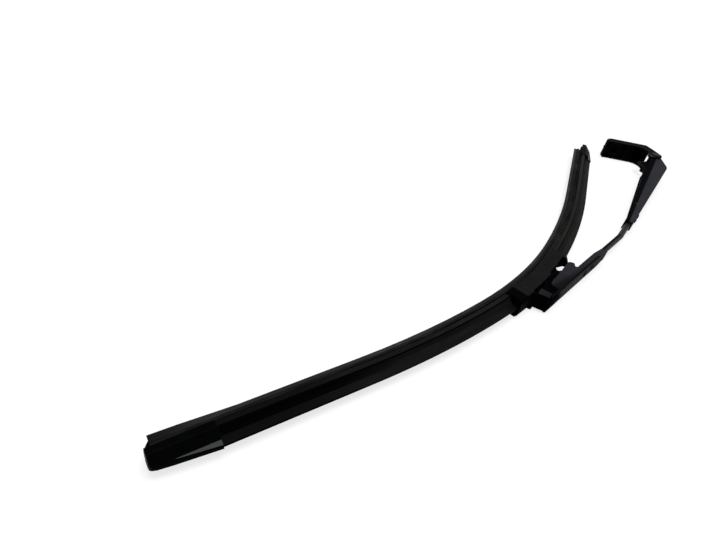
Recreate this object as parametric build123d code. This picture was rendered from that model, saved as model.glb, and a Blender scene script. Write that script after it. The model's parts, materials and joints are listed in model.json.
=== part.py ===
from build123d import *
from math import asin, cos, degrees, hypot, radians, sin
import os

os.makedirs("parts", exist_ok=True)

# Wiper arm with a flat blade, lying on its side with the arm head folded in. Millimetres and degrees.
# The origin is the mouth of the spindle seat under the arm head, in the middle plane of the arm.
# +X runs along the arm from the hinge to the blade, +Y to the arm's outer side, away from the glass.
# +Z is up, across the blade, and every hinge axis is parallel to it.

# Driving dimensions
blade_near_half = 345.0     # connector to the blade end that lies away from the head
blade_far_half = 355.0      # connector to the blade end beside the head
blade_turn = -3.9           # turn of the blade about its pivot at rest
bow_tight_to = 70.0         # the rail's tight arc ends this far from the connector
bow_tight_radius = 460.0
bow_wide_to = 200.0         # from here on the rail is straight
bow_wide_radius = 900.0     # on the side away from the head
bow_far_radius = 800.0      # on the side beside the head
head_fold = 121.5           # turn of the head from its working place, in line with the arm
sheet = 1.5                 # sheet steel of the channel and the arm tip
rod_radius = 3.0
rod_slope = 7.55            # the rod and the arm tip dip toward the glass by this much

# Clearances
running = 0.05              # radial, pins in their bores
side_gap = 0.3              # between faces that turn past each other
seat = 0.05                 # between fixed pieces that are slid together

# Blade section, across the blade and outward from the rail's middle
rail_inner = 1.2
rail_outer = 6.2
rail_half_thick = 0.45
slot_half = rail_half_thick + 2 * seat
skirt_half = 7.3            # half width of the spoiler's foot
skirt_low = 2.3             # foot below the rail
ridge_top = 11.0
ridge_half = 0.5
ridge_edge = 0.4            # bevel of the ridge
valley_side = (1.9, 6.2)    # hollow flank between ridge and foot
valley_end = (3.8, 3.2)
shoulder = (6.5, 1.9)
skirt_top = 1.0
rubber_head_half = 2.6
rubber_head_top = 1.7
lip_hold = 5.3              # inner edge of the spoiler's foot, under the rail
rubber_near_back = 4.0      # rubber ends this far inside the blade's ends
rubber_far_back = 9.0
rail_back = 31.0            # rails end this far inside the blade's ends
foot_lip = 1.6              # claw of the base bracket below the rail's middle

# End caps; each row is a distance from the tip and half the outside there, ridge to shoulder
cap_length = 39.4
cap_overlap = 5.0           # spoiler held in the mouth of an end cap
cap_wall = 3.0
cap_low = 3.1               # foot of the caps below the rail
cap_round = 3.0             # round corner of the ridge at the tip
cap_past_rail = 1.0         # room beyond the rails' ends
tongue_half = 3.0           # tongue that closes the rubber's end
near_tongue_low = 9.3
far_tongue_low = 4.6
cap_rows = (
    (cap_length, ((0, 11.8), (0.9, 11.8), (1.7, 10.8), (2.5, 7.5), (7.6, 2.6), (8.1, 1.9))),
    (13.0, ((0, 9.4), (0.9, 9.4), (1.9, 7.55), (2.0, 7.35), (6.8, 2.3), (7.3, 1.6))),
    (0.0, ((0, 7.8), (0.8, 7.8), (1.7, 6.4), (1.8, 6.2), (6.1, 1.9), (6.6, 1.3))),
)

# Rubber below the rail: half width and height of each corner, from the wiping edge upward
rubber_corners = (
    (0.35, -12.2), (0.7, -9.2), (2.1, -6.8), (2.1, -6.1),
    (0.55, -5.7), (0.55, -5.1), (3.0, -4.7), (3.0, -1.9),
)

# Connector in the middle of the blade
cover_half = 49.0
near_collar = 22.0
near_collar_top = 13.0
near_collar_shoulder = 11.3
near_collar_flat = 6.5      # half width of the flat top
far_collar = 5.0
far_collar_top = 12.6
far_collar_shoulder = 4.5
far_collar_flat = 1.0
cover_wall = 1.0
near_wall_top = 10.2
far_wall_top = 8.5
wall_step = -9.0            # the side walls are lower from here to the far collar
cover_low = 3.3             # foot of the cover below the rail
wall_overlap = 1.0          # side walls run into the collars
bracket_near = 24.0
bracket_far = 30.0
bracket_floor = 3.4
pivot_along = -5.0
pivot_height = 17.0
pivot_radius = 2.5
upright_half = 5.2
upright_eye = 5.2
upright_foot = 11.0

# Arm tip and adapter, measured from the blade pivot
pivot_from_bend = 148.3     # rod's bend to the blade pivot, along the rod
tip_web = 10.4              # outer face of the web above the pivot
tip_half = 9.5
tip_near = 27.0             # end of the web
tip_lip = 7.9               # lower edge of the web's rim beyond the side walls
tip_wall_near = 13.5        # side walls end here, in a round corner
tip_wall_round = (11.6, 1.4)
tip_wall_low = (5.0, -0.8)
tip_lobe_low = -5.0
tip_lobe_far = 32.0
tip_ear_round = (-36.4, -3.6)
tip_ear_far = (-37.4, 0.0)
tip_ear_notch = (-33.8, 2.0)
tip_neck_low = 4.0
tip_neck_from = 35.0
tip_taper_from = 72.0
tip_far = 97.0
neck_slack = 0.2            # sheet round the rod at the neck
bend_radius = 2.2           # outside bends of both sheet pieces
bend_from = 60.0            # edges longer than this are bends
adapter_half = tip_half - sheet - 3 * seat
adapter_wall = 2.2
adapter_far = 33.0
adapter_far_low = 0.5
adapter_far_wall = 2.0
adapter_low = -4.3
adapter_belly = 6.0         # lowest flat on both sides of the pivot
adapter_rise = (9.0, -3.8)
adapter_nose_low = (27.0, -2.2)
adapter_nose = (31.4, -1.2)
adapter_nose_top = 28.0
adapter_hollow_near = 24.0
latch_half = 3.2
latch_near = 13.0
latch_far = 6.0
latch_sunk = 0.2            # latch button below the web's face
latch_root = 0.5
paddle_end = 38.0           # flattened end of the rod inside the arm tip
paddle_from = 71.0
paddle_root = 2.0           # round rod runs on into the flattened end
tip_rivet_places = (-48.0, -64.0)
rivet_high = 0.3            # rivet heads above the sheet
rivet_low = 0.5             # rivet ends below the rod

# Arm channel, measured from the hinge
channel_web = 22.0          # outer face of the web above the hinge axis
channel_half = 10.0
channel_narrow = 5.7
channel_taper_from = 45.0
channel_taper_to = 205.0
channel_start = 25.0
channel_end = 218.0
lobe_radius = 8.0
hinge_radius = 4.0
bush_radius = 5.2
bush_collar = 6.4
rod_start = 178.0
rod_bend = 250.0
crimp_from = 203.0
free_slope = 0.098          # rise of the free edge along the channel
free_at = 43.0
free_level = -1.7           # height of the free edge there
stop_to = 16.0              # edge that meets the cross pin when the head is folded
stop_gap = 0.2
lobe_leave_angle = 117.4
lobe_under_angle = -135.0
channel_rivet_places = (186.0, 198.0)
rivet_radius = 2.0
bush_collar_thick = 0.8
bush_face_gap = 0.1         # bush face to the fork

# Spring and link
anchor_x = 168.0
anchor_y = 14.2
anchor_radius = 2.0
cross_radius = 2.5
cross_reach = 10.8          # hinge axis to cross pin
cross_angle = -20.0         # direction of the cross pin from the hinge at rest
coil_outer = 4.0
coil_wire = 0.9
coil_ridges = 12            # a ridge stands for a pair of turns
coil_sides = 8
coil_from = 158.0
coil_gap = 0.5              # between ridges, over two turns
loop_radius = 3.8           # loop round the anchor
nose_length = 4.0
nose_root = 1.2
link_free = 0.5             # link's end to the spring's nose
link_half_thick = 1.5
link_half_wide = 2.2
link_eye = 4.6
link_bow = (10.4, -2.2)     # middle of the bow round the hinge pin, from the cross pin
link_bow_radius = 8.2

# Arm head, measured from the hinge along the head and up to its top
head_half = 12.5
cheek = 2.2
head_top = 31.0
head_rim = 17.7
head_end = 63.5
head_front = 5.0
head_skin = 3.0
head_round = 2.5
head_corner = 10.0          # round corner between the top and the end
head_lip = 1.0              # end wall below the rim
head_lip_from = 3.5
head_lip_slope = 1.0
end_wall = 2.6
cheek_root = 23.0
cheek_hollow = (11.2, 12.2)
cheek_heel = (11.9, -3.6)
cheek_under = (11.6, -10.2)
cheek_toe = (4.0, -9.6)
knuckle = 8.5               # round the hinge
knuckle_low_x = -2.0
knuckle_top_x = -7.4
cheek_brow = (-2.2, 17.6)   # front edge of the cheeks between the knuckle and the top
front_lip = (               # sheet between the cheeks that closes the front of the head
    (5.0, 30.0), (5.0, 22.0), (6.5, 13.5), (7.7, 4.6),
    (9.6, 4.6), (8.5, 13.5), (7.0, 22.0), (7.0, 30.0),
)
front_lip_root = 0.5        # front lip runs into the cheeks
fork_depth = 21.0
bulkhead_to = 33.0
bulkhead_wall = 2.0
rib_half = 1.0
rib_low = 2.5               # rib above the rim
spindle_at = 49.5
spindle_radius = 4.5
spindle_mouth = 17.0
nut_seat = 25.5
nut_radius = 8.5
boss_wall = 2.2             # round the nut pocket
pin_head = 5.2
pin_head_high = 0.6
nut_cover_proud = 0.8
nut_cover_thick = 2.0
nut_cover_deep = 4.0
nut_cover_wall = 1.3

# Longer than any cut or overlap needs
past = 1.0
beyond = 400.0

# Derived places
fork_half = head_half - cheek
rod_height = channel_web - sheet - rod_radius - 2 * seat
head_turn = head_fold - 180.0


def turned(along, across, angle):
    """A point given along and across a direction, turned by an angle."""
    a = radians(angle)
    return (along * cos(a) - across * sin(a), along * sin(a) + across * cos(a))


spindle_from_hinge = turned(spindle_at, -spindle_mouth, head_turn)
hinge_at = (-spindle_from_hinge[0], -spindle_from_hinge[1])
rod_run = tip_web - sheet - rod_radius - seat
pivot_offset = turned(pivot_from_bend, -rod_run, -rod_slope)
pivot_at = (rod_bend + pivot_offset[0], rod_height + pivot_offset[1])
blade_offset = turned(pivot_along, pivot_height, blade_turn)
blade_at = (pivot_at[0] - blade_offset[0], pivot_at[1] - blade_offset[1])
cross_at = turned(cross_reach, 0, cross_angle)
link_slope = degrees(asin((anchor_y - cross_at[1]) / hypot(anchor_x - cross_at[0], anchor_y - cross_at[1])))

arm_place = Location((hinge_at[0], hinge_at[1], 0))
head_place = arm_place * Location((0, 0, 0), (0, 0, head_turn))
tip_place = arm_place * Location((pivot_at[0], pivot_at[1], 0), (0, 0, -rod_slope))
blade_place = arm_place * Location((blade_at[0], blade_at[1], 0), (0, 0, blade_turn))
link_place = arm_place * Location((cross_at[0], cross_at[1], 0), (0, 0, link_slope))
spring_place = arm_place * Location((anchor_x, anchor_y, 0), (0, 0, link_slope))


def keep(name, shape, place):
    """Write one piece to its own file, in its place."""
    export_step(place * shape, f"parts/{name}.step")


def outline(start, *steps):
    """Closed face from a start point; a step is a point to draw a line to, or an arc's middle and end."""
    edges = []
    here = start
    for step in steps:
        if len(step) == 2:
            edges.append(Line(here, step))
            here = step
        else:
            edges.append(ThreePointArc(here, step[:2], step[2:]))
            here = step[2:]
    if here != start:
        edges.append(Line(here, start))
    return make_face(edges)


def plate(face, half):
    """A face drawn in the plane of the arm, made solid across it."""
    return extrude(face, amount=half, both=True)


def across_pin(x, y, radius, low, high):
    """A round pin across the arm."""
    return Pos(x, y, (low + high) / 2) * Cylinder(radius, high - low)


def round_bar(x, y, radius, length):
    """A round bar along X from a starting point."""
    return Pos(x + length / 2, y, 0) * Rot(0, 90, 0) * Cylinder(radius, length)


def upright_pin(x, radius, low, high):
    """A round pin in the plane of the arm, along Y."""
    return Pos(x, (low + high) / 2, 0) * Rot(90, 0, 0) * Cylinder(radius, high - low)


def block(x0, x1, y0, y1, half):
    """A box between two X and two Y values, symmetric across the arm."""
    return Pos((x0 + x1) / 2, (y0 + y1) / 2, 0) * Box(x1 - x0, y1 - y0, 2 * half)


def section(start, *steps):
    """Closed blade section, symmetric across the blade: its right half, from middle to middle."""
    edges = []
    here = start
    for step in steps:
        if len(step) == 2:
            edges.append(Line(here, step))
            edges.append(Line((-here[0], here[1]), (-step[0], step[1])))
            here = step
        else:
            mid = step[:2]
            end = step[2:]
            edges.append(ThreePointArc(here, mid, end))
            edges.append(ThreePointArc((-here[0], here[1]), (-mid[0], mid[1]), (-end[0], end[1])))
            here = end
    return make_face(edges)


def rail_pose(s):
    """Place and direction of the rail at distance s from the connector, positive away from the head."""
    side = 1 if s >= 0 else -1
    reach = abs(s)
    tight = min(reach, bow_tight_to)
    turn = tight / bow_tight_radius
    x = bow_tight_radius * sin(turn)
    y = bow_tight_radius * (cos(turn) - 1)
    wide_radius = bow_wide_radius if s > 0 else bow_far_radius
    if reach > bow_tight_to:
        wide = (min(reach, bow_wide_to) - bow_tight_to) / wide_radius
        x += wide_radius * (sin(turn + wide) - sin(turn))
        y += wide_radius * (cos(turn + wide) - cos(turn))
        turn += wide
    if reach > bow_wide_to:
        x += (reach - bow_wide_to) * cos(turn)
        y -= (reach - bow_wide_to) * sin(turn)
    return side * x, y, -side * turn


def blade_frame(s):
    """Plane across the blade at distance s from the connector."""
    x, y, turn = rail_pose(s)
    return Plane(origin=(x, y, 0), x_dir=(0, 0, -1), z_dir=(cos(turn), sin(turn), 0))


def along_blade(face, low, high):
    """A blade section carried along the rail from one distance to another."""
    stops = [low]
    for stop in (-bow_wide_to, -bow_tight_to, bow_tight_to, bow_wide_to):
        if low < stop < high:
            stops.append(stop)
    stops.append(high)
    solid = None
    for a, b in zip(stops, stops[1:]):
        x, y, turn = rail_pose(a)
        profile = blade_frame(a) * face
        middle = abs(a + b) / 2
        if middle > bow_wide_to:
            piece = extrude(profile, amount=b - a, dir=(cos(turn), sin(turn), 0))
        else:
            wide_radius = bow_wide_radius if a > 0 else bow_far_radius
            radius = bow_tight_radius if middle < bow_tight_to else wide_radius
            centre = (x + radius * sin(turn), y - radius * cos(turn), 0)
            piece = revolve(profile, axis=Axis(centre, (0, 0, -1)), revolution_arc=degrees((b - a) / radius))
        solid = piece if solid is None else solid + piece
    return solid


def spoiler_skin(grow):
    """Right half of the spoiler's outside, from its ridge to its foot, grown outward."""
    return (
        (0, ridge_top + grow),
        (ridge_half + grow, ridge_top + grow),
        (ridge_half + ridge_edge + grow, ridge_top - ridge_edge + grow),
        tuple(value + grow for value in (*valley_side, *valley_end)),
        tuple(value + grow for value in shoulder),
        (skirt_half + grow, skirt_top + grow),
        (skirt_half + grow, -skirt_low - grow),
    )


def rail_slot(depth):
    """Right half of the room for rails and rubber under a piece that holds the rails."""
    return (
        (lip_hold, -depth),
        (lip_hold, -slot_half),
        (rail_outer + 2 * seat, -slot_half),
        (rail_outer + 2 * seat, slot_half),
        (rubber_head_half + side_gap, slot_half),
        (rubber_head_half + side_gap, rubber_head_top + side_gap),
        (0, rubber_head_top + side_gap),
    )


# Rubber element
rubber_section = section(
    (0, rubber_corners[0][1]),
    *rubber_corners,
    (lip_hold - side_gap, rubber_corners[-1][1]),
    (lip_hold - side_gap, -rail_half_thick - seat),
    (rail_inner - seat, -rail_half_thick - seat),
    (rail_inner - seat, rail_half_thick + seat),
    (rubber_head_half, rail_half_thick + seat),
    (rubber_head_half, rubber_head_top),
    (0, rubber_head_top),
)
rubber = along_blade(rubber_section, rubber_far_back - blade_far_half, blade_near_half - rubber_near_back)
keep("rubber_element", rubber, blade_place)

# Rails, one on each side of the rubber
rail_strip = Rectangle(rail_outer - rail_inner, 2 * rail_half_thick)
for name, side in (("rail_upper", -1), ("rail_lower", 1)):
    rail_face = Pos(side * (rail_inner + rail_outer) / 2, 0) * rail_strip
    keep(name, along_blade(rail_face, rail_back - blade_far_half, blade_near_half - rail_back), blade_place)

# Spoiler halves, from the base cover into the end caps
spoiler_section = section(*spoiler_skin(0), *rail_slot(skirt_low))
spoiler_ends = {
    "spoiler_near": (cover_half + seat, blade_near_half - cap_length + cap_overlap - seat),
    "spoiler_far": (cap_length - cap_overlap + seat - blade_far_half, -cover_half - seat),
}
for name, (low, high) in spoiler_ends.items():
    keep(name, along_blade(spoiler_section, low, high), blade_place)

# End caps: a mouth over the spoiler's end, then a body that holds rails and rubber and shrinks to the tip
cap_floor = cap_low + past
rail_room = section((0, -cap_floor), (lip_hold, -cap_floor), *rail_slot(cap_floor)[1:])
rubber_room = section(
    (0, -cap_floor),
    (lip_hold, -cap_floor),
    (lip_hold, -rail_half_thick),
    (rubber_head_half + side_gap, -rail_half_thick),
    (rubber_head_half + side_gap, rubber_head_top + side_gap),
    (0, rubber_head_top + side_gap),
)
spoiler_core = section(*spoiler_skin(seat), (0, -skirt_low - seat))


def along_cap(face, start, stop):
    """A section carried between two distances given in either order."""
    return along_blade(face, min(start, stop), max(start, stop))


def end_cap(tip, side, rubber_back, tongue_low):
    """Cap at the blade end 'tip', its closed end on the given side."""
    skins = []
    for back, half in cap_rows:
        skin = section(*half, (half[-1][0], -cap_low), (0, -cap_low))
        skins.append(blade_frame(tip - side * back) * skin)
    cap = loft(skins, ruled=True)
    mouth = tip - side * cap_length
    cap -= along_cap(spoiler_core, mouth - side * past, mouth + side * cap_overlap)
    cap -= along_cap(rail_room, mouth - side * past, tip - side * (rail_back - cap_past_rail))
    cap -= along_cap(rubber_room, mouth - side * past, tip - side * cap_wall)
    x, y, turn = rail_pose(tip)
    corner = Location((x, y, 0), (0, 0, degrees(turn)))
    closed = rubber_back - seat
    cap += corner * plate(outline(
        (0, 0),
        (0, -cap_low - past),
        (-side * closed, -tongue_low),
        (-side * closed, 0),
    ), tongue_half)
    top = cap_rows[-1][1][0][1]
    trim = outline(
        (side * past, top - cap_round),
        (0, top - cap_round),
        (-side * cap_round * 0.3, top - cap_round * 0.3, -side * cap_round, top),
        (-side * cap_round, top + 2 * past),
        (side * past, top + 2 * past),
    )
    return cap - corner * plate(trim, skirt_half)


keep("end_cap_near", end_cap(blade_near_half, 1, rubber_near_back, near_tongue_low), blade_place)
keep("end_cap_far", end_cap(-blade_far_half, -1, rubber_far_back, far_tongue_low), blade_place)

# Base cover: two side walls between a near and a far collar
cover_side = adapter_half + cover_wall + 2 * seat


def collar(top, shoulder, flat):
    """Section of a collar with a flat top and sloped shoulders."""
    return section((0, top), (flat, top), (cover_side, shoulder), (cover_side, -cover_low),
                   (lip_hold, -cover_low), *rail_slot(cover_low)[1:])


near_end = collar(near_collar_top, near_collar_shoulder, near_collar_flat)
far_end = collar(far_collar_top, far_collar_shoulder, far_collar_flat)
near_inner = cover_half - near_collar
far_inner = far_collar - cover_half
cover = along_blade(near_end, near_inner, cover_half)
cover += along_blade(far_end, -cover_half, far_inner)
wall_runs = (
    (near_wall_top, wall_step, near_inner + wall_overlap),
    (far_wall_top, far_inner - wall_overlap, wall_step + wall_overlap),
)
for top, low, high in wall_runs:
    wall = Pos(cover_side - cover_wall / 2, (top - cover_low) / 2) * Rectangle(cover_wall, top + cover_low)
    cover += along_blade(wall, low, high)
    cover += along_blade(mirror(wall, about=Plane.YZ), low, high)
keep("base_cover", cover, blade_place)

# Base bracket: a floor with claws round the rails and an upright for the pivot pin
claw_section = section(
    (0, bracket_floor),
    (adapter_half, bracket_floor),
    (adapter_half, -foot_lip),
    (lip_hold, -foot_lip),
    *rail_slot(foot_lip)[1:],
)
bracket = along_blade(claw_section, -bracket_far, bracket_near)
bracket += plate(outline(
    (pivot_along - upright_foot, bracket_floor - past),
    (pivot_along + upright_foot, bracket_floor - past),
    (pivot_along + upright_eye, pivot_height),
    (pivot_along, pivot_height + upright_eye, pivot_along - upright_eye, pivot_height),
), upright_half)
bracket -= across_pin(pivot_along, pivot_height, pivot_radius, -upright_half - past, upright_half + past)
keep("base_bracket", bracket, blade_place)
pin_half = adapter_half - 2 * seat
keep("pivot_pin", across_pin(pivot_along, pivot_height, pivot_radius, -pin_half, pin_half), blade_place)

# Adapter: a plug that fills the arm tip and turns on the pivot pin
adapter_top = tip_web - sheet - 2 * seat
adapter_profile = outline(
    (-adapter_far, adapter_top),
    (adapter_nose_top, adapter_top),
    adapter_nose,
    adapter_nose_low,
    adapter_rise,
    (adapter_belly, adapter_low),
    (-adapter_belly, adapter_low),
    (-adapter_rise[0], adapter_rise[1]),
    (-adapter_far, adapter_far_low),
)
adapter = plate(adapter_profile, adapter_half)
adapter -= block(-adapter_far + adapter_far_wall, adapter_hollow_near, adapter_low - past,
                 adapter_top - adapter_wall, adapter_half - adapter_wall)
adapter -= across_pin(0, 0, pivot_radius + running, -adapter_half - past, adapter_half + past)
adapter += block(latch_far, latch_near, adapter_top - latch_root, tip_web - latch_sunk, latch_half)
keep("adapter", adapter, tip_place)

# Arm tip: a stamped U with side lobes and a neck that narrows to the rod
tip_profile = outline(
    (tip_near, tip_web),
    (tip_near, tip_lip),
    (tip_wall_near, tip_lip),
    (*tip_wall_round, *tip_wall_low),
    (-tip_lobe_far, tip_lobe_low),
    (*tip_ear_round, *tip_ear_far),
    tip_ear_notch,
    (-tip_neck_from, tip_neck_low),
    (-tip_far, tip_neck_low),
    (-tip_far, tip_web),
)


def tapered(x_wide, x_taper, x_narrow, x_end, wide, narrow):
    """Plan outline that is wide, tapers and stays narrow, drawn across the arm."""
    face = outline((x_wide, wide), (x_taper, wide), (x_narrow, narrow), (x_end, narrow),
                   (x_end, -narrow), (x_narrow, -narrow), (x_taper, -wide), (x_wide, -wide))
    return Rot(90, 0, 0) * face


def open_channel(profile, plan_outer, plan_inner, web_inner):
    """A sheet U: the side profile cut to the plan, hollow below the web, its long bends rounded."""
    body = plate(profile, beyond) & extrude(plan_outer, amount=beyond, both=True)
    bends = []
    for edge in body.edges().filter_by(GeomType.LINE):
        on_top = abs(edge.center().Y - web_inner - sheet) < seat
        if on_top and edge.length > bend_from and abs(edge.tangent_at(0.5).Z) < 0.5:
            bends.append(edge)
    body = fillet(bends, bend_radius)
    hollow = extrude(plan_inner, amount=beyond, both=True)
    return body - (hollow & block(-beyond, beyond, -beyond, web_inner, beyond))


neck_inner = rod_radius + neck_slack
neck_start = past - tip_far
tip_plan_outer = tapered(tip_near + past, -tip_taper_from, neck_start, -tip_far - past,
                         tip_half, neck_inner + sheet)
tip_plan_inner = tapered(tip_near + 2 * past, -tip_taper_from, neck_start, -tip_far - 2 * past,
                         tip_half - sheet, neck_inner)
arm_tip = open_channel(tip_profile, tip_plan_outer, tip_plan_inner, tip_web - sheet)
arm_tip -= block(latch_far - side_gap, latch_near + side_gap, tip_web - sheet - past, tip_web + past,
                 latch_half + side_gap)
for x in tip_rivet_places:
    arm_tip -= upright_pin(x, rivet_radius, 0, tip_web + past)
keep("arm_tip", arm_tip, tip_place)

# Rod: straight inside the channel, bent at its mouth, flattened inside the arm tip
sloped = round_bar(-pivot_from_bend, rod_run, rod_radius, pivot_from_bend - paddle_from + paddle_root)
sloped += block(-paddle_from, -paddle_end, tip_neck_low, rod_run + rod_radius, tip_half - sheet - 2 * seat)
for x in tip_rivet_places:
    sloped -= upright_pin(x, rivet_radius, 0, tip_web + past)
straight = round_bar(rod_start, rod_height, rod_radius, rod_bend - rod_start)
for x in channel_rivet_places:
    straight -= upright_pin(x, rivet_radius, 0, channel_web + past)
elbow = Pos(rod_bend, rod_height, 0) * Sphere(rod_radius)
rod = straight + elbow + arm_place.inverse() * tip_place * sloped
keep("arm_rod", rod, arm_place)


def rivets(places, low, high):
    """A row of rivets as one piece."""
    row = [upright_pin(x, rivet_radius, low - rivet_low, high + rivet_high) for x in places]
    return Compound(children=row)


# Rivets that hold the rod
keep("tip_rivets", rivets(tip_rivet_places, tip_neck_low, tip_web), tip_place)
keep("channel_rivets", rivets(channel_rivet_places, rod_height - rod_radius, channel_web), arm_place)

# Arm channel: tapered U with a lobe round the hinge and a crimped mouth
stop_edge = cross_at[1] + cross_radius + stop_gap
lobe_start = (lobe_radius**2 - stop_edge**2) ** 0.5
lobe_leave = turned(lobe_radius, 0, lobe_leave_angle)
crimp_low = rod_height - rod_radius - sheet
channel_profile = outline(
    (channel_start, channel_web),
    (channel_end, channel_web),
    (channel_end, crimp_low),
    (crimp_from, crimp_low),
    (crimp_from, free_level + free_slope * (crimp_from - free_at)),
    (free_at, free_level),
    (stop_to, stop_edge),
    (lobe_start, stop_edge),
    (*turned(lobe_radius, 0, lobe_under_angle), *lobe_leave),
)
channel_outer = tapered(-beyond, channel_taper_from, channel_taper_to, channel_end + past,
                        channel_half, channel_narrow)
channel_inner = tapered(-beyond, channel_taper_from, channel_taper_to, channel_end + 2 * past,
                        channel_half - sheet, channel_narrow - sheet)
channel = open_channel(channel_profile, channel_outer, channel_inner, channel_web - sheet)
channel += block(crimp_from, channel_end, crimp_low, crimp_low + sheet, channel_narrow)
channel -= across_pin(0, 0, bush_radius, -beyond, beyond)
channel -= across_pin(anchor_x, anchor_y, anchor_radius, -beyond, beyond)
for x in channel_rivet_places:
    channel -= upright_pin(x, rivet_radius, rod_height, channel_web + past)
keep("arm_channel", channel, arm_place)

# Hinge bushes in the channel's side walls
bush_inner = channel_half - sheet - bush_collar_thick
bush_outer = fork_half - bush_face_gap
for name, side in (("hinge_bush_upper", 1), ("hinge_bush_lower", -1)):
    sleeve = across_pin(0, 0, bush_radius, bush_inner, bush_outer)
    sleeve += across_pin(0, 0, bush_collar, bush_inner, channel_half - sheet)
    sleeve -= across_pin(0, 0, hinge_radius + running, bush_inner - past, bush_outer + past)
    if side < 0:
        sleeve = mirror(sleeve, about=Plane.XY)
    keep(name, sleeve, arm_place)

# Spring anchor across the channel
anchor_half = channel_narrow + past
keep("spring_anchor", across_pin(anchor_x, anchor_y, anchor_radius, -anchor_half, anchor_half), arm_place)

# Tension spring: close turns and a loop round the anchor, drawn along its own axis from the anchor
coil_back = (coil_from - anchor_x) / cos(radians(link_slope))
pitch = 4 * coil_wire + coil_gap
coil_middle = coil_outer - coil_wire
coil_length = coil_ridges * pitch
nose_from = coil_back - coil_length - nose_length


def coil_ring(radius, start, length):
    """A hollow ring of the coil with flat sides, round the spring's axis."""
    face = RegularPolygon(radius, coil_sides) - RegularPolygon(coil_middle - coil_wire, coil_sides)
    return Pos(start, 0, 0) * Rot(0, 90, 0) * extrude(face, amount=length)


turns = coil_ring(coil_outer - coil_wire / 2, coil_back - coil_length, coil_length)
for i in range(coil_ridges):
    turns += coil_ring(coil_outer, coil_back - (i + 0.75) * pitch, pitch / 2)
tail = block(coil_back - nose_root, -anchor_radius, -coil_wire, coil_middle, coil_wire)
tail += across_pin(0, 0, loop_radius, -coil_wire, coil_wire)
tail -= across_pin(0, 0, anchor_radius, -coil_wire - past, coil_wire + past)
nose = block(nose_from, coil_back - coil_length + nose_root, -coil_wire, coil_middle, coil_wire)
keep("tension_spring", turns + tail + nose, spring_place)

# Spring link: an eye on the cross pin, a bow round the hinge pin and a straight bar to the spring
link_length = hypot(anchor_x - cross_at[0], anchor_y - cross_at[1]) + nose_from - link_free
bow_x, bow_y = link_bow
bow_out = link_bow_radius + link_half_wide
bow_in = link_bow_radius - link_half_wide
bow_ring = Pos(bow_x, bow_y) * (Circle(bow_out) - Circle(bow_in))
bow_top = bow_y + link_half_wide
bow_below = Pos(bow_x, bow_top - bow_out) * Rectangle(2 * bow_out + past, 2 * bow_out)
bar = Pos((bow_x + bow_in + link_length) / 2, 0) * Rectangle(link_length - bow_x - bow_in, 2 * link_half_wide)
link_face = Circle(link_eye) + (bow_ring & bow_below) + bar - Circle(cross_radius + running)
keep("spring_link", plate(link_face, link_half_thick), link_place)

# Arm head: a hollow casting with a fork round the channel and a boss for the spindle
cross_in_head = turned(cross_reach, 0, cross_angle - head_turn)
inner_top = head_top - head_skin
corner_mid = head_corner * (1 - cos(radians(45)))


def head_points(*values):
    """Head points are given up from the hinge; the head's own Y axis points down to the glass."""
    return tuple(-v if i % 2 else v for i, v in enumerate(values))


head_profile = outline(
    head_points(head_front, head_top),
    head_points(head_end - head_corner, head_top),
    head_points(head_end - corner_mid, head_top - corner_mid, head_end, head_top - head_corner),
    head_points(head_end, head_rim - head_lip),
    head_points(head_end - head_lip_from, head_rim - head_lip),
    head_points(head_end - head_lip_from - head_lip_slope, head_rim),
    head_points(cheek_root, head_rim),
    head_points(*cheek_hollow, *cheek_heel),
    head_points(*cheek_under, *cheek_toe),
    head_points(knuckle_low_x, -(knuckle**2 - knuckle_low_x**2) ** 0.5),
    head_points(-knuckle, 0, knuckle_top_x, (knuckle**2 - knuckle_top_x**2) ** 0.5),
    head_points(*cheek_brow, head_front, head_top),
)
head = plate(head_profile, head_half)
top_edges = []
for edge in head.edges().filter_by(GeomType.LINE):
    if abs(edge.center().Y + head_top) < seat and edge.length > cheek_root:
        top_edges.append(edge)
head = fillet(top_edges, head_round)
head -= block(-beyond, fork_depth, -inner_top, beyond, fork_half)
head -= block(-beyond, head_front, -beyond, beyond, fork_half)
lip_points = [head_points(*point) for point in front_lip]
head += plate(outline(*lip_points), fork_half + front_lip_root)
head -= block(fork_depth - past, bulkhead_to - bulkhead_wall, -inner_top, -head_rim - bulkhead_wall,
              fork_half - bulkhead_wall)
head -= block(bulkhead_to, head_end - end_wall, -inner_top, beyond, fork_half)
head += upright_pin(spindle_at, nut_radius + boss_wall, -inner_top, -spindle_mouth)
head += block(bulkhead_to - past, head_end - end_wall + past, -inner_top, -head_rim - rib_low, rib_half)
head -= upright_pin(spindle_at, spindle_radius, -head_top - past, past - spindle_mouth)
head -= upright_pin(spindle_at, nut_radius, -head_top - past, -nut_seat)
head -= across_pin(0, 0, hinge_radius, -beyond, beyond)
head -= across_pin(cross_in_head[0], cross_in_head[1], cross_radius, -beyond, beyond)
keep("arm_head", head, head_place)

# Pins fixed in the head's cheeks
pin_end = head_half + pin_head_high
hinge_pin = across_pin(0, 0, hinge_radius, -pin_end, pin_end)
hinge_pin += across_pin(0, 0, pin_head, -pin_end, -head_half)
hinge_pin += across_pin(0, 0, pin_head, head_half, pin_end)
keep("hinge_pin", hinge_pin, arm_place)
keep("cross_pin", across_pin(cross_at[0], cross_at[1], cross_radius, -head_half, head_half), arm_place)

# Nut cover pressed into the pocket on top of the head
disc_low = -head_top - nut_cover_proud
nut_cover = upright_pin(spindle_at, nut_radius - seat, disc_low, nut_cover_deep - head_top)
nut_cover -= upright_pin(spindle_at, nut_radius - nut_cover_wall, disc_low + nut_cover_thick, beyond)
keep("nut_cover", nut_cover, head_place)
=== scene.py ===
import json
from math import cos, pi, radians, sin

import bmesh
import bpy
import numpy as np
from mathutils import Matrix, Vector


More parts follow.
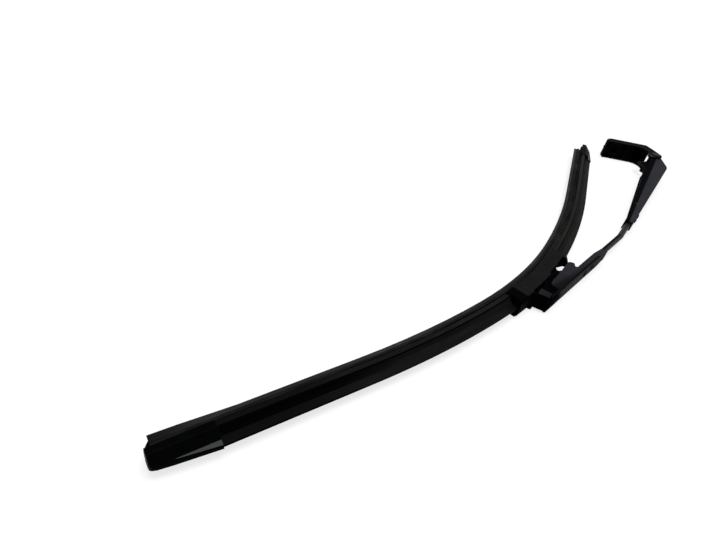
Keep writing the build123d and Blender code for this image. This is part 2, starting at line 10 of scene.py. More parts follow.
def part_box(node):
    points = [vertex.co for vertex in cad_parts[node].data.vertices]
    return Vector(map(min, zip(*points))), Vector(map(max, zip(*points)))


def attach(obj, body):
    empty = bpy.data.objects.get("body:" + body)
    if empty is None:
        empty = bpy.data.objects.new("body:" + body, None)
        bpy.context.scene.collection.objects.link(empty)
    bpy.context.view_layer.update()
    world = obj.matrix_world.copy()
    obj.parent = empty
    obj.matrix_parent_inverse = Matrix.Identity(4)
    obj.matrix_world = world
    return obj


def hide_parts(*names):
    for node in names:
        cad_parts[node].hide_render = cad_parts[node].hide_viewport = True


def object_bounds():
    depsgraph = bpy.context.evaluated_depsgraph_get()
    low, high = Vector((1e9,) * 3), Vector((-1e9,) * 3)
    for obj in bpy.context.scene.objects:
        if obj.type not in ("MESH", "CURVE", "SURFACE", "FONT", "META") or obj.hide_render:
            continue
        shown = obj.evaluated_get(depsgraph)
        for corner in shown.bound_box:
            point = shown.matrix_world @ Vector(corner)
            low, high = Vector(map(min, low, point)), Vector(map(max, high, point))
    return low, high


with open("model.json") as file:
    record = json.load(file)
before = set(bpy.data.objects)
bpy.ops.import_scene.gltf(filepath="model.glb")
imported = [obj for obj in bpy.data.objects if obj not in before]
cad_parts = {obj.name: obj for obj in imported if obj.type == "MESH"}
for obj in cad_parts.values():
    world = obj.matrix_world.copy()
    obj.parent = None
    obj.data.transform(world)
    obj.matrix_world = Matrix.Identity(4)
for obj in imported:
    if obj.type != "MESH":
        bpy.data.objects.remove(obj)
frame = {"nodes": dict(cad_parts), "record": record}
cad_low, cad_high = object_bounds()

nodes = frame["nodes"]
scene = bpy.context.scene

# Camera, floor and light, in metres and degrees
image_width = 722
camera_place = Vector((0.7943, 0.0740, 0.2705))
camera_yaw = 118.92
camera_pitch = 38.76
camera_roll = 12.26
focal_pixels = 513.1
sensor_width = 36.0
nearest_seen = 0.01
floor_size = 12.0
floor_gap = 0.0002
floor_tones = (0.295, 0.295, 0.295), (0.305, 0.305, 0.305)
floor_patch = 3.0
floor_rough = 0.9
floor_glow = 0.76
far_glow = 1.0
glow_grows = (0.45, 0.95)
lamp_aim = Vector((0.36, 0.0, 0.0))
sky_light = 0.2
sky_seen = 1.0

# Small pieces, in metres
wire_radius = 0.0009
wire_rounding = 3
spring_radius = 0.004
turn_pitch = 0.00205
points_per_turn = 16
loop_arc = 1.5 * pi
loop_steps = 14
hook_length = 0.0062
hook_lead = 0.002
hook_offset = 0.8
nose_length = 0.0045
nose_lead = 0.0018
nose_offset = 0.3
lip_half = 0.0088
lip_bevel = 0.0006
catch_foot = 0.0310
catch_round = 0.0005
skirt_from_to = (0.00575, 0.00775)
skirt_bevel = 0.0002
flare_half_thick = 0.0004
flare_bevel = 0.0001
flare_run = 0.02
lathe_sides = 28
rivet_over = 0.0003
rivet_head = 0.0032
rivet_dome = 0.0011
dome_angles = (0.0, 0.35, 0.7, 1.05, 1.4)
shank_round = 0.0005
dimple_place = (0.3690, 0.0484)
dimple_radius = 0.0021

# Patches, spots and scuffs of the finishes
tone_range = (0.35, 0.68)
gloss_range = (0.3, 0.7)
patch_detail = 5.0
spot_scale = 160.0
spot_stretch = (0.3, 1, 1)
spot_range = (0.38, 0.60)
scuff_scale = 240.0
scuff_range = (0.38, 0.62)
scuff_least = 0.15
fine_detail = 3.0
grain_detail = 2.0
scuff_width = 1.5
edge_turn = 0.86
bevel_samples = 6
along_blade = (0.03, 0.03, 1.0)

# Where painted shade and painted highlights start, in metres: places along X, or a direction in the plan and
# a distance along it
channel_side, channel_side_level = (-0.0645, 1.0), 0.0552
tip_side, tip_side_level = (-0.30, -1.0), -0.1618
tip_end_from = 0.3975
rod_side, rod_side_level = (0.123, 1.0), 0.0983
rod_bend = 0.241
nose_from = 0.4070
collar_from = 0.4165
collar_dark = 0.4285
fin_root_from = 0.575
spoiler_from = 0.590
lip_end_from = 0.690

# Which faces take another finish, mostly painted shade or a painted highlight: how far their normals lean,
# and heights from the middle in metres
web_lean = 0.8
fold_lean = 0.2
nose_end_lean = 0.7
catch_top_lean = 0.3
collar_lean_square = 0.5
facet_lean, facet_heights = (0.93, 0.99), (0.0005, 0.004)
groove_lean, groove_height = (0.73, 0.77), 0.0064
root_lean, root_height = (0.35, 0.88), 0.0062
lip_lean, lip_height = 0.97, 0.0009


# Shader building blocks
def new_material(name):
    """A new node material, its node tree and its Principled shader."""
    material = bpy.data.materials.new(name)
    material.use_nodes = True
    tree = material.node_tree
    return material, tree, tree.nodes["Principled BSDF"]


def object_coordinates(tree, stretch):
    """Coordinates fixed to the piece, in metres, scaled by axis."""
    source = tree.nodes.new("ShaderNodeTexCoord")
    mapping = tree.nodes.new("ShaderNodeMapping")
    mapping.inputs["Scale"].default_value = stretch
    tree.links.new(source.outputs["Object"], mapping.inputs["Vector"])
    return mapping.outputs["Vector"]


def noise(tree, vector, scale, detail):
    """Fractal noise with its factor between 0 and 1."""
    node = tree.nodes.new("ShaderNodeTexNoise")
    node.inputs["Scale"].default_value = scale
    node.inputs["Detail"].default_value = detail
    tree.links.new(vector, node.inputs["Vector"])
    return node.outputs["Fac"]


def remap(tree, value, low, high, to_low, to_high):
    """A value moved from one range to another and held inside it."""
    node = tree.nodes.new("ShaderNodeMapRange")
    node.inputs["From Min"].default_value = low
    node.inputs["From Max"].default_value = high
    node.inputs["To Min"].default_value = to_low
    node.inputs["To Max"].default_value = to_high
    tree.links.new(value, node.inputs["Value"])
    return node.outputs["Result"]


def mix_colour(tree, factor, dark, light):
    """A blend of two tones; either may be a plain colour or an output."""
    node = tree.nodes.new("ShaderNodeMix")
    node.data_type = "RGBA"
    tree.links.new(factor, node.inputs["Factor"])
    for socket, value in ((node.inputs["A"], dark), (node.inputs["B"], light)):
        if isinstance(value, tuple):
            socket.default_value = (*value, 1.0)
        else:
            tree.links.new(value, socket)
    return node.outputs["Result"]


def calculate(tree, operation, first, second):
    """The product, or the larger one, of two values."""
    node = tree.nodes.new("ShaderNodeMath")
    node.operation = operation
    tree.links.new(first, node.inputs[0])
    tree.links.new(second, node.inputs[1])
    return node.outputs["Value"]


def seen_as_background(tree):
    """One for rays that look at the background, straight or by way of a shiny or clear face."""
    path = tree.nodes.new("ShaderNodeLightPath")
    total = path.outputs["Is Camera Ray"]
    for name in ("Is Glossy Ray", "Is Transmission Ray"):
        total = calculate(tree, "MAXIMUM", total, path.outputs[name])
    return total


def edge_mask(tree, radius):
    """One near sharp outer edges and zero on flat faces."""
    bevel = tree.nodes.new("ShaderNodeBevel")
    bevel.samples = bevel_samples
    bevel.inputs["Radius"].default_value = radius
    geometry = tree.nodes.new("ShaderNodeNewGeometry")
    dot = tree.nodes.new("ShaderNodeVectorMath")
    dot.operation = "DOT_PRODUCT"
    tree.links.new(bevel.outputs["Normal"], dot.inputs[0])
    tree.links.new(geometry.outputs["Normal"], dot.inputs[1])
    return remap(tree, dot.outputs["Value"], 1.0, edge_turn, 0.0, 1.0)


def bump(tree, height, strength, distance, radius):
    """A normal from a height, on top of softly rounded edges."""
    bevel = tree.nodes.new("ShaderNodeBevel")
    bevel.samples = bevel_samples
    bevel.inputs["Radius"].default_value = radius
    node = tree.nodes.new("ShaderNodeBump")
    node.inputs["Strength"].default_value = strength
    node.inputs["Distance"].default_value = distance
    tree.links.new(height, node.inputs["Height"])
    tree.links.new(bevel.outputs["Normal"], node.inputs["Normal"])
    return node.outputs["Normal"]


def surface(name, dark, light, rough, specular, patch=60.0, stretch=(1, 1, 1), grain=2200.0, relief=0.25,
            depth=0.00005, edge=0.0004, worn=None, mottle=0.0):
    """A black finish: two tones in patches, uneven gloss, fine grain and worn, rounded edges."""
    material, tree, shader = new_material(name)
    even = object_coordinates(tree, (1, 1, 1))
    patches = noise(tree, object_coordinates(tree, stretch), patch, patch_detail)
    tone = remap(tree, patches, *tone_range, 0.0, 1.0)
    if mottle:
        spots = noise(tree, object_coordinates(tree, spot_stretch), spot_scale, fine_detail)
        tone = calculate(tree, "MULTIPLY", tone, remap(tree, spots, *spot_range, 1.0 - mottle, 1.0))
    colour = mix_colour(tree, tone, dark, light)
    if worn:
        scuffs = remap(tree, noise(tree, even, scuff_scale, fine_detail), *scuff_range, scuff_least, 1.0)
        scuffed = calculate(tree, "MULTIPLY", edge_mask(tree, edge * scuff_width), scuffs)
        colour = mix_colour(tree, scuffed, colour, worn)
    tree.links.new(colour, shader.inputs["Base Color"])
    tree.links.new(remap(tree, patches, *gloss_range, *rough), shader.inputs["Roughness"])
    normal = bump(tree, noise(tree, even, grain, grain_detail), relief, depth, edge)
    tree.links.new(normal, shader.inputs["Normal"])
    shader.inputs["Specular IOR Level"].default_value = specular
    return material


# Finishes, one for each slot of the record
sheet = dict(rough=(0.40, 0.52), patch=45.0, grain=1400.0, relief=0.12, edge=0.0006)
rod = dict(rough=(0.30, 0.40), patch=120.0, grain=1400.0, relief=0.12, specular=0.03)
soft = dict(rough=(0.5, 0.7), patch=520.0, stretch=along_blade, grain=1500.0, relief=0.3, edge=0.0003,
            specular=0.012)
fin = dict(patch=420.0, stretch=along_blade, grain=1300.0, relief=0.3, edge=0.0006)
finishes = {
    "painted_sheet": surface("painted_sheet", (0.0125, 0.0130, 0.0158), (0.0165, 0.0172, 0.0205),
                             worn=(0.030, 0.031, 0.035), specular=0.008, **sheet),
    "head_casting": surface("head_casting", (0.0010, 0.0010, 0.0011), (0.0021, 0.0021, 0.0023),
                            rough=(0.46, 0.6), patch=70.0, grain=1100.0, relief=0.3, depth=0.00008,
                            edge=0.0007, worn=(0.022, 0.0222, 0.0230), specular=0.008),
    "pin_steel": surface("pin_steel", (0.005, 0.005, 0.0055), (0.010, 0.010, 0.0108), rough=(0.36, 0.5),
                         patch=220.0, grain=3000.0, relief=0.15, worn=(0.03, 0.03, 0.031), specular=0.03),
    "spring_steel": surface("spring_steel", (0.006, 0.006, 0.0065), (0.013, 0.013, 0.0135),
                            rough=(0.60, 0.75), patch=180.0, grain=2600.0, relief=0.15, specular=0.01),
    "bracket_metal": surface("bracket_metal", (0.0015, 0.0015, 0.0017), (0.003, 0.003, 0.0033),
                             rough=(0.4, 0.55), patch=120.0, worn=(0.010, 0.010, 0.010), specular=0.02),
    "connector_plastic": surface("connector_plastic", (0.0105, 0.0105, 0.0106), (0.0145, 0.0145, 0.0146),
                                 rough=(0.42, 0.55), patch=90.0, grain=1800.0, relief=0.2,
                                 worn=(0.019, 0.019, 0.0192), specular=0.006),
    "cap_plastic": surface("cap_plastic", (0.0005, 0.0007, 0.0006), (0.0012, 0.0015, 0.0014),
                           rough=(0.36, 0.5), patch=90.0, grain=1600.0, relief=0.2, edge=0.0006,
                           worn=(0.009, 0.0093, 0.009), specular=0.006),
    "cover_plastic": surface("cover_plastic", (0.002, 0.002, 0.002), (0.004, 0.004, 0.004),
                             rough=(0.4, 0.55), patch=90.0, worn=(0.010, 0.010, 0.010), specular=0.02),
    "bush_plastic": surface("bush_plastic", (0.008, 0.008, 0.0078), (0.014, 0.014, 0.0136),
                            rough=(0.45, 0.6), patch=200.0, specular=0.03),
    "wiping_rubber": surface("wiping_rubber", (0.0030, 0.0030, 0.0029), (0.0190, 0.0186, 0.0174),
                             mottle=0.8, **soft),
    "spoiler_rubber": surface("spoiler_rubber", (0.0026, 0.0026, 0.0026), (0.0112, 0.0111, 0.0102),
                              rough=(0.46, 0.62), worn=(0.011, 0.011, 0.0105), mottle=0.8,
                              specular=0.032, **fin),
}
slots = {part["node"]: part["material_slot"] for part in frame["record"]["subparts"]}
for name, node in nodes.items():
    node.data.materials.clear()
    node.data.materials.append(finishes[slots[name]])


# Finishes of single nodes and of some of their faces, with painted shade and painted highlights
def paint_shade_side(material, direction, level, soft_half, shade):
    """Paints shade: makes a finish darker and rougher short of a distance along a direction in the plan."""
    tree = material.node_tree
    shader = tree.nodes["Principled BSDF"]
    colour_in, rough_in = shader.inputs["Base Color"], shader.inputs["Roughness"]
    colour, rough = colour_in.links[0].from_socket, rough_in.links[0].from_socket
    line = tree.nodes.new("ShaderNodeVectorMath")
    line.operation = "DOT_PRODUCT"
    tree.links.new(object_coordinates(tree, (1, 1, 1)), line.inputs[0])
    line.inputs[1].default_value = (*direction, 0.0)
    below = remap(tree, line.outputs["Value"], level - soft_half, level + soft_half, 1.0, 0.0)
    tree.links.new(mix_colour(tree, below, colour, shade), colour_in)
    tree.links.new(calculate(tree, "MAXIMUM", rough, below), rough_in)


def paint_shade_beyond(material, start, soft_half, shade):
    """Paints shade: makes a finish darker and rougher beyond a place along X."""
    paint_shade_side(material, (-1.0, 0.0), -start, soft_half, shade)


def main_finish(name, material):
    """Gives a node a finish of its own in place of its slot's."""
    nodes[name].data.materials[0] = material


def extra_finish(piece, material, chosen):
    """Gives one more material to the faces that the test picks."""
    piece.data.materials.append(material)
    for face in piece.data.polygons:
        if chosen(face.normal, face.center):
            face.material_index = len(piece.data.materials) - 1


def between(value, limits):
    """True for a value whose size lies between two limits."""
    return limits[0] < abs(value) < limits[1]


# Painted reflection and painted shade: lighter tones than painted_sheet stand in for the bright surroundings
# reflected by the flange, and one side of the channel is darkened where the shadow inside it falls
channel_sheet = surface("channel_sheet", (0.0258, 0.0267, 0.0322), (0.0316, 0.0329, 0.0392),
                        worn=(0.034, 0.035, 0.039), specular=0.002, **sheet)
paint_shade_side(channel_sheet, channel_side, channel_side_level, soft_half=0.0005, shade=(0.0040, 0.0041, 0.0050))
main_finish("arm_channel", channel_sheet)

# Lit and shaded copies of one paint: the walls are lighter where light falls on them (painted light), the
# web keeps the plain tones, and the folds are darker (painted shade in the creases); the wall darkens
# towards the fold and both wall and web darken towards the near end (painted shade)
tip_wall = surface("tip_wall", (0.0190, 0.0197, 0.0236), (0.0248, 0.0257, 0.0305),
                   worn=(0.030, 0.031, 0.035), specular=0.003, **sheet)
tip_web = surface("tip_web", (0.0125, 0.0130, 0.0158), (0.0165, 0.0172, 0.0205),
                  worn=(0.030, 0.031, 0.035), specular=0.003, **sheet)
tip_fold_shade = surface("tip_fold_shade", (0.0052, 0.0054, 0.0064), (0.0074, 0.0077, 0.0090), rough=(0.60, 0.75),
                   patch=45.0, grain=1400.0, relief=0.12, specular=0.003)
paint_shade_side(tip_wall, tip_side, tip_side_level, soft_half=0.003, shade=(0.0085, 0.0087, 0.0100))
for material in (tip_wall, tip_web):
    paint_shade_beyond(material, tip_end_from, soft_half=0.003, shade=(0.0022, 0.0022, 0.0026))
main_finish("arm_tip", tip_wall)
extra_finish(nodes["arm_tip"], tip_web, lambda normal, place: normal.y > web_lean)
extra_finish(nodes["arm_tip"], tip_fold_shade, lambda normal, place: fold_lean < normal.y <= web_lean)

# The lower rod is a lighter copy of the rod paint with painted shade on one side: a painted highlight on its
# +Y half and painted shade on its -Y half
rod_paint = surface("rod_paint", (0.0124, 0.0127, 0.0147), (0.0221, 0.0228, 0.0254), **rod)
rod_lower = surface("rod_lower", (0.020, 0.0205, 0.0235), (0.034, 0.035, 0.039), **rod)
paint_shade_side(rod_lower, rod_side, rod_side_level, soft_half=0.001, shade=(0.0065, 0.0067, 0.0078))
main_finish("arm_rod", rod_paint)
extra_finish(nodes["arm_rod"], rod_lower, lambda normal, place: place.x > rod_bend)

# Near-black painted shade, put on end faces, creases and tucked-away pieces where shade falls
shade_black = surface("painted_shade_black", (0.0005, 0.0005, 0.0005), (0.0012, 0.0012, 0.0012), rough=(0.6, 0.75),
                 patch=200.0, specular=0.004)
# The light bluish tones are a painted highlight on the adapter's nose; the rest of the adapter gets painted
# shade, and the nose's end faces near-black painted shade
adapter_plastic = surface("adapter_plastic", (0.0095, 0.0090, 0.0120), (0.0165, 0.0157, 0.0205),
                          rough=(0.34, 0.46), patch=70.0, grain=1800.0, relief=0.2,
                          worn=(0.020, 0.019, 0.024), specular=0.008)
paint_shade_side(adapter_plastic, (1.0, 0.0), nose_from, soft_half=0.001, shade=(0.0010, 0.0009, 0.0014))
main_finish("adapter", adapter_plastic)
extra_finish(nodes["adapter"], shade_black, lambda normal, place: normal.x > nose_end_lean)

cover_shell = surface("cover_shell", (0.0074, 0.0076, 0.0074), (0.0108, 0.0110, 0.0108),
                      rough=(0.42, 0.55), patch=90.0, grain=1800.0, relief=0.2,
                      worn=(0.018, 0.018, 0.018), specular=0.006)
main_finish("base_cover", cover_shell)
# Painted shade on the near collar: all of it beyond collar_dark, and beyond collar_from its faces that lean
# more sideways than up or down
extra_finish(nodes["base_cover"], shade_black,
             lambda normal, place: place.x > collar_dark
             or (place.x > collar_from and normal.z**2 < collar_lean_square))

# A painted highlight: lighter tones on the end caps' slanted facets stand in for the glint of the overhead
# lamp
facet_highlight = surface("painted_highlight_facet", (0.025, 0.0275, 0.0266), (0.034, 0.0365, 0.0355), rough=(0.22, 0.3),
                   patch=120.0, grain=1600.0, relief=0.08, specular=0.045)
for name in ("end_cap_near", "end_cap_far"):
    extra_finish(nodes[name], facet_highlight,
                 lambda normal, place: between(normal.z, facet_lean) and between(place.z, facet_heights))

fin_root = surface("fin_root", (0.0050, 0.0050, 0.0050), (0.0120, 0.0119, 0.0112), rough=(0.5, 0.65),
                   mottle=0.7, specular=0.012, **fin)
# Painted shade towards the blade's near end on the fin roots and spoilers, and near-black painted shade in
# the spoilers' grooves
paint_shade_beyond(fin_root, fin_root_from, soft_half=0.035, shade=(0.0009, 0.0009, 0.0009))
paint_shade_beyond(finishes["spoiler_rubber"], spoiler_from, soft_half=0.040, shade=(0.0042, 0.0042, 0.0041))
for name in ("spoiler_near", "spoiler_far"):
    extra_finish(nodes[name], shade_black,
                 lambda normal, place: between(normal.z, groove_lean) and abs(place.z) > groove_height)
    extra_finish(nodes[name], fin_root,
                 lambda normal, place: between(normal.z, root_lean) and abs(place.z) < root_height)

lip_rubber = surface("lip_rubber", (0.0180, 0.0178, 0.0174), (0.0500, 0.0495, 0.0475), mottle=0.6, **soft)
# Painted shade on the lip towards the blade's near end
paint_shade_beyond(lip_rubber, lip_end_from, soft_half=0.015, shade=(0.0105, 0.0104, 0.0100))
extra_finish(nodes["rubber_element"], lip_rubber,
             lambda normal, place: abs(place.z) < lip_height and abs(normal.z) > lip_lean)


# Wound spring in place of its plain solid
def long_axis(node):
    """Middle, direction and both end distances of a node along its longest axis."""
    points = np.array([vertex.co for vertex in node.data.vertices], float)
    middle = (points.min(0) + points.max(0)) / 2
    direction = np.linalg.svd(points - points.mean(0), full_matrices=False)[2][0]
    direction *= np.sign(direction[0])
    reach = (points - middle) @ direction
    return Vector(middle), Vector(direction), reach.min(), reach.max()


def wire(name, points, radius, body, slot):
    """A round wire along a line of points, riding on a body."""
    data = bpy.data.curves.new(name, "CURVE")
    data.dimensions = "3D"
    data.bevel_depth = radius
    data.bevel_resolution = wire_rounding
    data.use_fill_caps = True
    spline = data.splines.new("POLY")
    spline.points.add(len(points) - 1)
    for target, point in zip(spline.points, points):
        target.co = (*point, 1.0)
    data.materials.append(finishes[slot])
    piece = bpy.data.objects.new(name, data)
    scene.collection.objects.link(piece)
    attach(piece, body)
    return piece


def wound_spring():
    """Helix between the spring's end loops, with a loop round the anchor and a straight nose."""
    middle, along, low, high = long_axis(nodes["tension_spring"])
    anchor_low, anchor_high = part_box("spring_anchor")
    anchor = (anchor_low + anchor_high) / 2
    up = Vector((0, 0, 1))
    side = up.cross(along)
    axis_at = anchor + along * (middle - anchor).dot(along)
    loop_radius = (anchor_high.x - anchor_low.x) / 2 + wire_radius
    helix_radius = spring_radius - wire_radius
    start = high - 2 * loop_radius - hook_length
    stop = low + nose_length
    turns = round((start - stop) / turn_pitch)
    points = []
    for i in range(loop_steps + 1):
        angle = loop_arc * (i / loop_steps - 0.5)
        points.append(anchor + loop_radius * (cos(angle) * along + sin(angle) * side))
    points.append(axis_at + along * (start + hook_lead) + side * helix_radius * hook_offset)
    for i in range(turns * points_per_turn + 1):
        angle = pi / 2 + 2 * pi * i / points_per_turn
        step = start - turn_pitch * i / points_per_turn
        points.append(axis_at + along * step + helix_radius * (cos(angle) * up + sin(angle) * side))
    points.append(axis_at + along * (stop - nose_lead) + side * helix_radius * nose_offset)
    points.append(axis_at + along * (low + wire_radius))
    spring = wire("wound_spring", points, wire_radius, "arm", "spring_steel")
    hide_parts("tension_spring")


wound_spring()


# Small moulded details, drawn out across the blade
def finish_piece(name, mesh, material, body):
    """Makes one object of a mesh, with its finish, that rides on a body."""
    bmesh.ops.recalc_face_normals(mesh, faces=mesh.faces)
    data = bpy.data.meshes.new(name)
    mesh.to_mesh(data)
    mesh.free()
    data.materials.append(material)
    piece = bpy.data.objects.new(name, data)
    scene.collection.objects.link(piece)
    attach(piece, body)
    return piece


def draw_out(mesh, stations):
    """Adds a solid through profiles in the plan; each station is a height and its profile."""
    rings = [[mesh.verts.new((x, y, z)) for x, y in profile] for z, profile in stations]
    count = len(rings[0])
    for low_ring, high_ring in zip(rings, rings[1:]):
        for i in range(count):
            j = (i + 1) % count
            mesh.faces.new((low_ring[i], low_ring[j], high_ring[j], high_ring[i]))
    mesh.faces.new(rings[0][::-1])
    mesh.faces.new(rings[-1])


def bevelled(profile, low, high, bevel):
    """Stations of a profile between two heights, drawn in a little at both ends."""
    middle = sum((Vector(point) for point in profile), Vector((0, 0))) / len(profile)
    drawn_in = []
    for point in profile:
        offset = Vector(point) - middle
        drawn_in.append(tuple(middle + offset * (1 - bevel / offset.length)))
    return [(low, drawn_in), (low + bevel, profile), (high - bevel, profile), (high, drawn_in)]


def collar_lip():
    """A lip on the cover's near collar, towards the adapter's nose, in near-black painted shade."""
    profile = [(0.41702, 0.0336), (0.41758, 0.0382), (0.41798, 0.0387), (0.41958, 0.0385),
               (0.42018, 0.0378), (0.42012, 0.0336)]
    mesh = bmesh.new()
    draw_out(mesh, bevelled(profile, -lip_half, lip_half, lip_bevel))
    finish_piece("collar_lip", mesh, shade_black, "blade")


def far_catch():
    """A catch on the upper side of the cover's far collar, in near-black painted shade except for its top.
    """
    mesh = bmesh.new()
    stations = []
    heights_and_tops = [(-0.0012, 0.0405, 0.0409), (-0.0005, 0.0413, 0.0421), (0.0035, 0.0413, 0.0421),
                        (0.0055, 0.0401, 0.0407), (0.0084, 0.0380, 0.0382)]
    for z, far_top, near_top in heights_and_tops:
        stations.append((z, [(0.33965, catch_foot), (0.33955, far_top - catch_round), (0.3400, far_top),
                             (0.3436, near_top), (0.3440, near_top - catch_round), (0.34425, catch_foot)]))
    draw_out(mesh, stations)
    catch = finish_piece("far_catch", mesh, shade_black, "blade")
    extra_finish(catch, cover_shell, lambda normal, place: normal.z > catch_top_lean)


def adapter_skirts():
    """A skirt under each wall of the adapter, between the cover's walls, in near-black painted shade."""
    profile = [(0.3660, 0.0442), (0.3664, 0.0416), (0.3683, 0.0406), (0.3690, 0.0394), (0.3685, 0.0380),
               (0.3669, 0.0369), (0.3649, 0.0365), (0.3642, 0.0350), (0.3855, 0.0350), (0.3875, 0.0374),
               (0.3875, 0.0396), (0.3770, 0.0412)]
    mesh = bmesh.new()
    for side in (-1, 1):
        draw_out(mesh, [(side * z, ring) for z, ring in bevelled(profile, *skirt_from_to, skirt_bevel)])
    finish_piece("adapter_skirts", mesh, shade_black, "arm")


def lip_flare():
    """The wiping lip stands out a little more toward its near end."""
    points = [vertex.co for vertex in nodes["rubber_element"].data.vertices]
    edge = [point for point in points if abs(point.z) < flare_half_thick]
    end = max(edge, key=lambda point: point.x)
    behind = max((point for point in edge if point.x < end.x - flare_run), key=lambda point: point.x)
    along = (end.xy - behind.xy).normalized()
    outward = Vector((along.y, -along.x))
    back_and_out = [(0.052, -0.0006), (0.0, -0.0006), (0.0, 0.0021), (0.017, 0.0017), (0.035, 0.0008),
                    (0.052, 0.0)]
    profile = [tuple(end.xy - along * back + outward * out) for back, out in back_and_out]
    mesh = bmesh.new()
    draw_out(mesh, bevelled(profile, -flare_half_thick, flare_half_thick, flare_bevel))
    finish_piece("lip_flare", mesh, lip_rubber, "blade")


collar_lip()
far_catch()
adapter_skirts()
lip_flare()


# Turned details: domed rivets in place of plain ones, and a pressed dimple on each wall of the arm tip
def turn(mesh, base, axis, profile):
    """Adds a turned solid; the profile's rows are a radius and a height along the axis."""
    side = axis.orthogonal().normalized()
    across = axis.cross(side)
    rings = []
    for radius, height in profile:
        ring = []
        for i in range(lathe_sides):
            angle = 2 * pi * i / lathe_sides
            spoke = cos(angle) * side + sin(angle) * across
            ring.append(mesh.verts.new(base + axis * height + spoke * radius))
        rings.append(ring)
    for low_ring, high_ring in zip(rings, rings[1:]):
        for i in range(lathe_sides):
            j = (i + 1) % lathe_sides
            face = mesh.faces.new((low_ring[i], low_ring[j], high_ring[j], high_ring[i]))
            face.smooth = True
    mesh.faces.new(rings[0][::-1])
    mesh.faces.new(rings[-1])


def domed_rivets(node_name):
    """A domed head on the outside of each rivet of a node, and a shank with a rounded end."""
    points = np.array([vertex.co for vertex in nodes[node_name].data.vertices], float)
    mesh = bmesh.new()
    middle_x = (points[:, 0].min() + points[:, 0].max()) / 2
    for part in (points[points[:, 0] < middle_x], points[points[:, 0] >= middle_x]):
        middle = (part.min(0) + part.max(0)) / 2
        axis = np.linalg.svd(part - part.mean(0), full_matrices=False)[2][0]
        axis *= np.sign(axis[1])
        reach = (part - middle) @ axis
        shank = np.linalg.norm((part - middle) - np.outer(reach, axis), axis=1).max()
        low, top = reach.min(), reach.max() - rivet_over
        dome = [(rivet_head * cos(angle), top + rivet_dome * sin(angle)) for angle in dome_angles]
        profile = [(shank - shank_round, low), (shank, low + shank_round), (shank, top), *dome]
        turn(mesh, Vector(middle), Vector(axis), profile)
    rivets = finish_piece("domed_" + node_name, mesh, finishes["painted_sheet"], "arm")
    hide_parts(node_name)


def wall_dimples():
    """A shallow round boss with a hollow middle on both walls of the arm tip."""
    low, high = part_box("arm_tip")
    mesh = bmesh.new()
    profile = [(dimple_radius, -0.0002), (dimple_radius, 0.0001), (dimple_radius * 0.86, 0.0004),
               (dimple_radius * 0.62, 0.0004), (dimple_radius * 0.4, 0.00015), (dimple_radius * 0.1, 0.0001)]
    turn(mesh, Vector((*dimple_place, high.z)), Vector((0, 0, 1)), profile)
    turn(mesh, Vector((*dimple_place, low.z)), Vector((0, 0, -1)), profile)
    finish_piece("wall_dimples", mesh, rod_paint, "arm")


for node_name in ("tip_rivets", "channel_rivets"):
    domed_rivets(node_name)
wall_dimples()


# Floor under the three places the object rests on
def lowest(name):
    """The lowest vertex of a node."""
    return min((vertex.co for vertex in nodes[name].data.vertices), key=lambda point: point.z).copy()


def resting_plane():
    """Upward normal and a point of the plane the object lies on."""
    a, b, c = lowest("hinge_pin"), lowest("end_cap_near"), lowest("arm_tip")
    normal = (b - a).cross(c - a).normalized()
    normal *= 1 if normal.z > 0 else -1
    depth = min((vertex.co - a).dot(normal) for node in nodes.values() for vertex in node.data.vertices)
    return normal, a + normal * (depth - floor_gap)


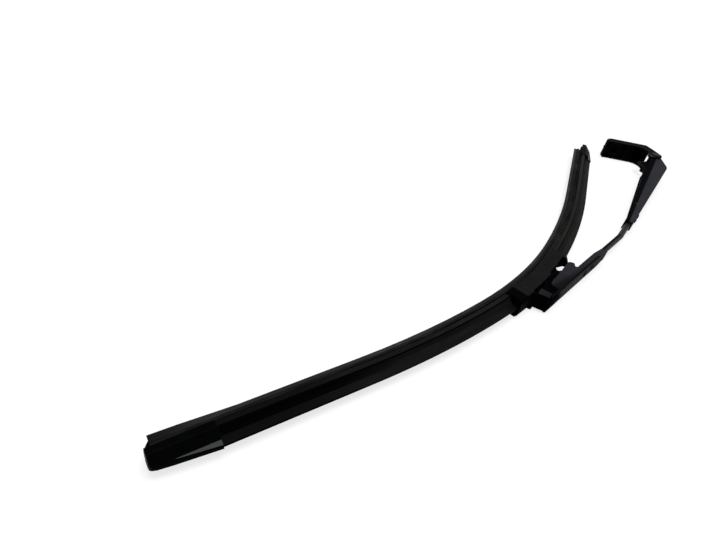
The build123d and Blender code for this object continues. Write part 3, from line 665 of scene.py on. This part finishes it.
def add_floor():
    """A plain pale sheet that keeps the object's shadow."""
    normal, point = resting_plane()
    centre = (cad_low + cad_high) / 2
    point = centre - normal * (centre - point).dot(normal)
    half = floor_size / 2
    data = bpy.data.meshes.new("floor")
    corners = [(-half, -half, 0), (half, -half, 0), (half, half, 0), (-half, half, 0)]
    data.from_pydata(corners, [], [(0, 1, 2, 3)])
    floor = bpy.data.objects.new("floor", data)
    scene.collection.objects.link(floor)
    floor.matrix_world = Matrix.Translation(point) @ normal.to_track_quat("Z", "Y").to_matrix().to_4x4()
    material, tree, shader = new_material("pale_floor")
    tint = mix_colour(tree, noise(tree, object_coordinates(tree, (1, 1, 1)), floor_patch, grain_detail),
                      *floor_tones)
    tree.links.new(tint, shader.inputs["Base Color"])
    shader.inputs["Roughness"].default_value = floor_rough
    shader.inputs["Specular IOR Level"].default_value = 0.0
    shader.inputs["Emission Color"].default_value = (1, 1, 1, 1)
    distance = tree.nodes.new("ShaderNodeVectorMath")
    distance.operation = "LENGTH"
    tree.links.new(object_coordinates(tree, (1, 1, 1)), distance.inputs[0])
    level = remap(tree, distance.outputs["Value"], *glow_grows, floor_glow, far_glow)
    glow = calculate(tree, "MULTIPLY", seen_as_background(tree), level)
    tree.links.new(glow, shader.inputs["Emission Strength"])
    data.materials.append(material)


add_floor()


# Camera and light
def add_camera():
    """The camera, from its place, its three turns and its focal length in pixels."""
    yaw, pitch, roll = radians(camera_yaw), radians(camera_pitch), radians(camera_roll)
    ahead = Vector((-sin(yaw), cos(yaw), 0))
    level = Vector((cos(yaw), sin(yaw), 0))
    up = Vector((0, 0, 1))
    look = cos(pitch) * ahead - sin(pitch) * up
    over = sin(pitch) * ahead + cos(pitch) * up
    right = cos(roll) * level + sin(roll) * over
    top = cos(roll) * over - sin(roll) * level
    data = bpy.data.cameras.new("camera")
    data.sensor_width = sensor_width
    data.lens = sensor_width * focal_pixels / image_width
    data.clip_start = nearest_seen
    camera = bpy.data.objects.new("camera", data)
    scene.collection.objects.link(camera)
    rotation = Matrix((right, top, -look)).transposed().to_4x4()
    camera.matrix_world = Matrix.Translation(camera_place) @ rotation
    scene.camera = camera


def add_light(name, place, size, power):
    """A soft square lamp aimed at the middle of the object."""
    data = bpy.data.lights.new(name, "AREA")
    data.size = size
    data.energy = power
    lamp = bpy.data.objects.new(name, data)
    scene.collection.objects.link(lamp)
    lamp.location = place
    lamp.rotation_euler = (lamp_aim - Vector(place)).to_track_quat("-Z", "Y").to_euler()


add_camera()
add_light("overhead", place=(0.4, 0.0, 1.5), size=0.9, power=19.0)
add_light("side_fill", place=(1.3, -0.9, 0.8), size=1.0, power=2.0)
world = bpy.data.worlds.new("studio")
world.use_nodes = True
sky = world.node_tree.nodes["Background"]
sky.inputs["Color"].default_value = (1.0, 1.0, 1.0, 1.0)
sky_level = remap(world.node_tree, seen_as_background(world.node_tree), 0.0, 1.0, sky_light, sky_seen)
world.node_tree.links.new(sky_level, sky.inputs["Strength"])
scene.world = world
scene.view_settings.view_transform = "Standard"
